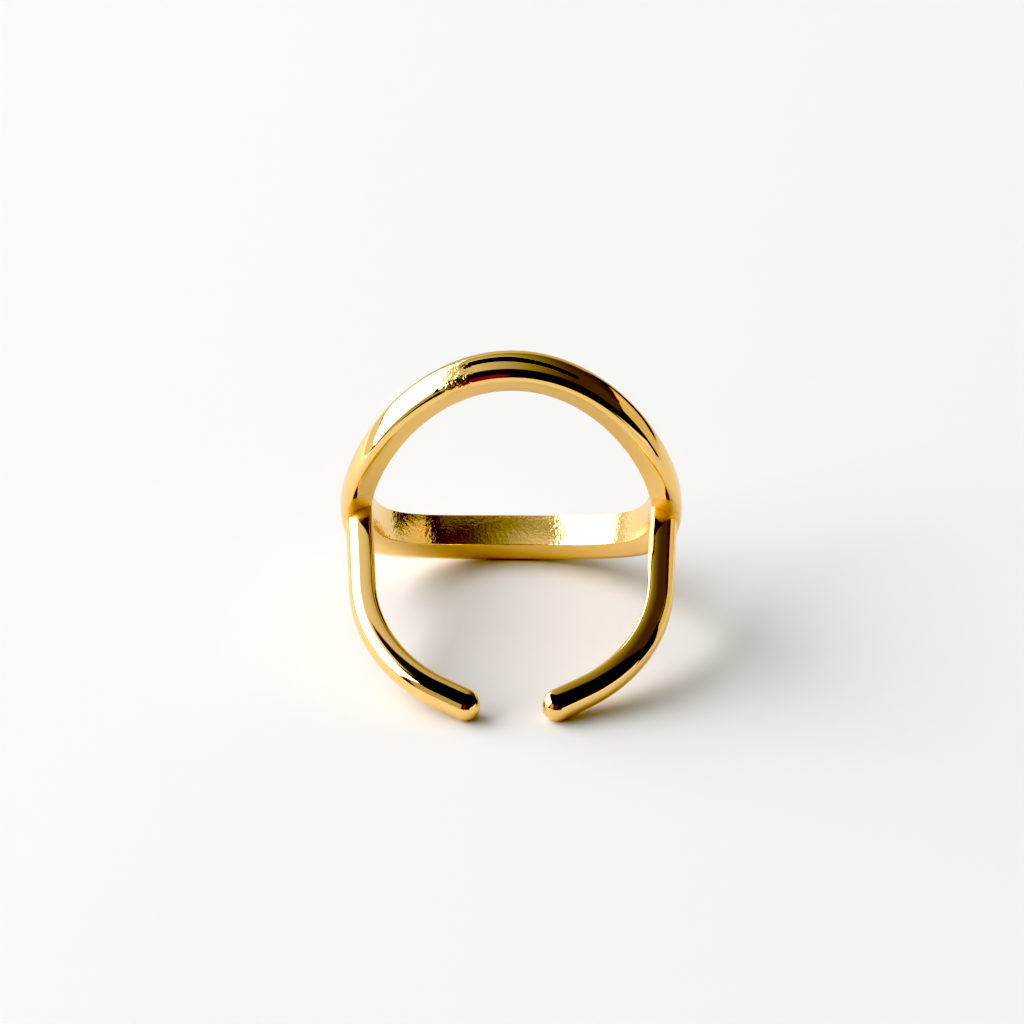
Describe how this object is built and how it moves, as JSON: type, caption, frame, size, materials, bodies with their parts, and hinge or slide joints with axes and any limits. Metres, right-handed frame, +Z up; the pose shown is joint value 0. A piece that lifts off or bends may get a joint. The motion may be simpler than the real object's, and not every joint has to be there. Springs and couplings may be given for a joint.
{
  "type": "open circle finger ring",
  "caption": "Adjustable finger ring of polished gold-plated metal: a round open loop bent over the finger as its head, on a shank of two arms with rounded ends and a gap.",
  "frame": {"origin": "middle of the base of the whole ring's box, on the surface it lies on", "axes": "+Z up from the surface, +Y from the arms' ends towards the lower side of the head, X across the ring"},
  "size_m": [0.0224, 0.024, 0.02],
  "materials": {
    "gold_plate": "polished gold plating"
  },
  "bodies": {
    "root": {"ring": "gold_plate"}
  },
  "joints": []
}
